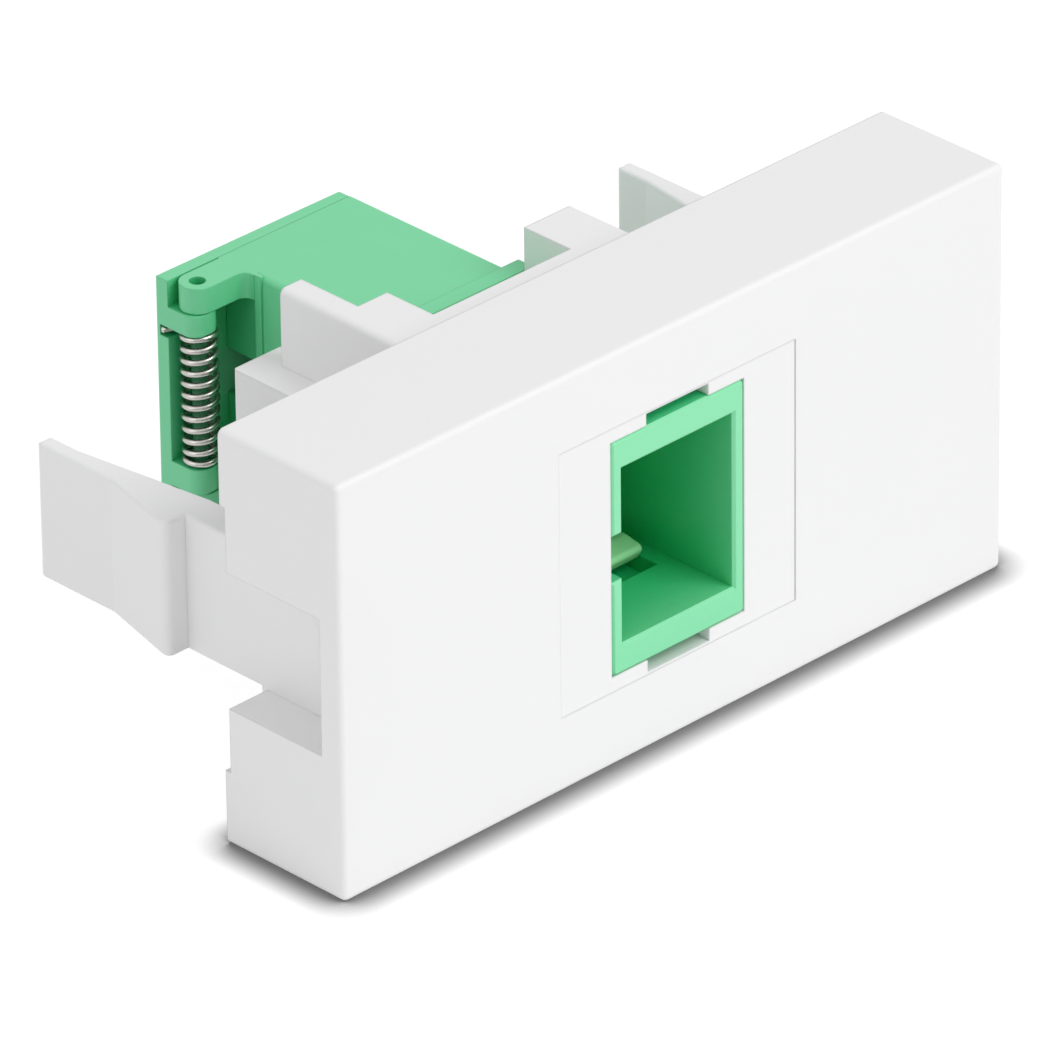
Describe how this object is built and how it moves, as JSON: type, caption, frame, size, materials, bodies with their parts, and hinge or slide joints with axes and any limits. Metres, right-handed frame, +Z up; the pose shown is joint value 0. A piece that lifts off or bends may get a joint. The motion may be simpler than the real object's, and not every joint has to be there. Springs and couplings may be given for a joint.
{
  "type": "sc simplex coupler module",
  "caption": "Snap-in 45 by 22.5 mm outlet plate with a green SC simplex fibre coupler and a sprung flap over its rear port.",
  "frame": {"origin": "middle of the plate's rear rim, in the plane that seats in the wall frame", "axes": "+X along the long side of the plate, +Y to the rear, into the wall, +Z up as in the picture"},
  "size_m": [0.045, 0.0279, 0.0226],
  "materials": {
    "white_plastic": "satin moulded, white",
    "green_plastic": "satin moulded, light green",
    "latch_plastic": "satin moulded, yellowish green",
    "zirconia": "ground ceramic",
    "spring_steel": "drawn bright wire"
  },
  "bodies": {
    "root": {"module_plate": "white_plastic", "coupler_front_shell": "green_plastic", "coupler_rear_shell": "green_plastic", "front_latch_insert": "latch_plastic", "rear_latch_insert": "latch_plastic", "alignment_sleeve": "zirconia", "hinge_pin": "green_plastic", "torsion_spring": "spring_steel"},
    "flap": {"rear_flap": "green_plastic"}
  },
  "joints": [
    {"name": "flap_hinge", "type": "hinge", "parent": "root", "child": "flap", "pos_m": [-0.00695, 0.01795, 0], "axis": [0, 0, 1], "range_deg": [0, 105], "stiffness_Nm_per_rad": 0.0002, "springref_deg": -20.05, "deforming": ["torsion_spring"]}
  ]
}
